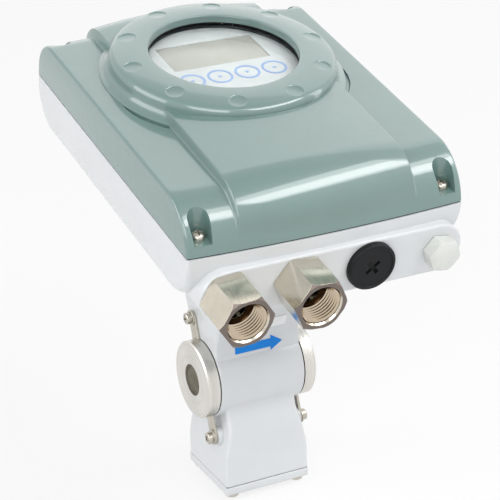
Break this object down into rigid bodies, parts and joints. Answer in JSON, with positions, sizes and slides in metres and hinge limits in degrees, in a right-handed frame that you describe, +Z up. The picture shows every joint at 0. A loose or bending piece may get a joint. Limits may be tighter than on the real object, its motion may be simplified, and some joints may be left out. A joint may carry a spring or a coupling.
{
  "type": "electromagnetic flow meter",
  "caption": "Wafer electromagnetic flow meter: tilted converter head with a round window over its display, a row of cable entries, a flared neck and an earth-ringed flow bore.",
  "frame": {"origin": "middle of the flow bore, halfway between the two sealing faces", "axes": "+X is the flow direction along the bore, +Z points up through the neck to the converter head, -Y is the side with the cable entries; the head is tilted 12 degrees about X towards -Y"},
  "size_m": [0.155, 0.2256, 0.2577],
  "materials": {
    "cover_paint": "glossy grey-green baked paint",
    "housing_paint": "semi-gloss light grey baked paint",
    "window_glass": "clear, flat",
    "seal_rubber": "matte black",
    "zinc_steel": "zinc plated",
    "stainless": "turned stainless steel",
    "nickel_brass": "dull nickel plate over brass",
    "black_plastic": "black, slightly glossy",
    "white_plastic": "white",
    "panel_plastic": "pale grey film",
    "lcd_glass": "grey-beige liquid crystal",
    "key_blue": "printed blue",
    "circuit_board": "green solder mask",
    "dark_iron": "varnished laminations",
    "soft_iron": "grey phosphated",
    "copper_wire": "enamelled winding",
    "terminal_plastic": "black moulding",
    "liner_plastic": "ivory fluoroplastic",
    "lead_red": "red insulation",
    "lead_blue": "blue insulation",
    "arrow_blue": "bright blue sticker",
    "label_white": "blank white label"
  },
  "bodies": {
    "meter": {"seam_gasket": "seal_rubber", "base_housing": "housing_paint", "port_seals": "seal_rubber", "display_panel": "panel_plastic", "lcd_module": "lcd_glass", "key_rings": "key_blue", "panel_spacers": "zinc_steel", "display_board": "circuit_board", "display_standoffs": "zinc_steel", "main_board": "circuit_board", "board_standoffs": "zinc_steel", "board_screws": "zinc_steel", "power_board": "circuit_board", "power_spacers": "zinc_steel", "transformer": "dark_iron", "terminal_block": "terminal_plastic", "terminal_screws": "zinc_steel", "earth_screw": "nickel_brass", "lead_connector": "white_plastic", "neck_gasket": "seal_rubber", "neck_screws": "zinc_steel", "detector_body": "housing_paint", "wire_bushing": "seal_rubber", "coil_lead": "lead_red", "electrode_lead": "lead_blue", "measuring_tube": "stainless", "liner": "liner_plastic", "electrodes": "stainless", "electrode_insulators": "white_plastic", "electrode_nuts": "stainless", "coils": "copper_wire", "pole_pieces": "soft_iron", "upper_yoke": "soft_iron", "lower_yoke": "soft_iron", "ring_gaskets": "seal_rubber", "inlet_ring": "stainless", "outlet_ring": "stainless", "ring_straps": "zinc_steel", "strap_screws": "zinc_steel", "strap_washers": "zinc_steel", "bottom_gasket": "seal_rubber", "bottom_cover": "housing_paint", "bottom_screws": "zinc_steel", "flow_arrow": "arrow_blue", "blank_label": "label_white"},
    "lid": {"cover": "cover_paint", "window_glass": "window_glass", "window_gasket": "seal_rubber", "glass_retainer": "zinc_steel", "retainer_screws": "zinc_steel", "cover_screws": "zinc_steel"},
    "adapter_1": {"left_adapter": "nickel_brass"},
    "adapter_2": {"right_adapter": "nickel_brass"},
    "plug_1": {"round_plug": "black_plastic"},
    "plug_2": {"hex_plug": "white_plastic"}
  },
  "joints": [
    {"name": "cover_lift", "type": "slide", "parent": "meter", "child": "lid", "axis": [0, -0.2079, 0.9781], "range_m": [0, 0.06]},
    {"name": "left_adapter_out", "type": "slide", "parent": "meter", "child": "adapter_1", "axis": [0, -0.9781, -0.2079], "range_m": [0, 0.025]},
    {"name": "right_adapter_out", "type": "slide", "parent": "meter", "child": "adapter_2", "axis": [0, -0.9781, -0.2079], "range_m": [0, 0.025]},
    {"name": "round_plug_out", "type": "slide", "parent": "meter", "child": "plug_1", "axis": [0, -0.9781, -0.2079], "range_m": [0, 0.025]},
    {"name": "hex_plug_out", "type": "slide", "parent": "meter", "child": "plug_2", "axis": [0, -0.9781, -0.2079], "range_m": [0, 0.025]}
  ]
}
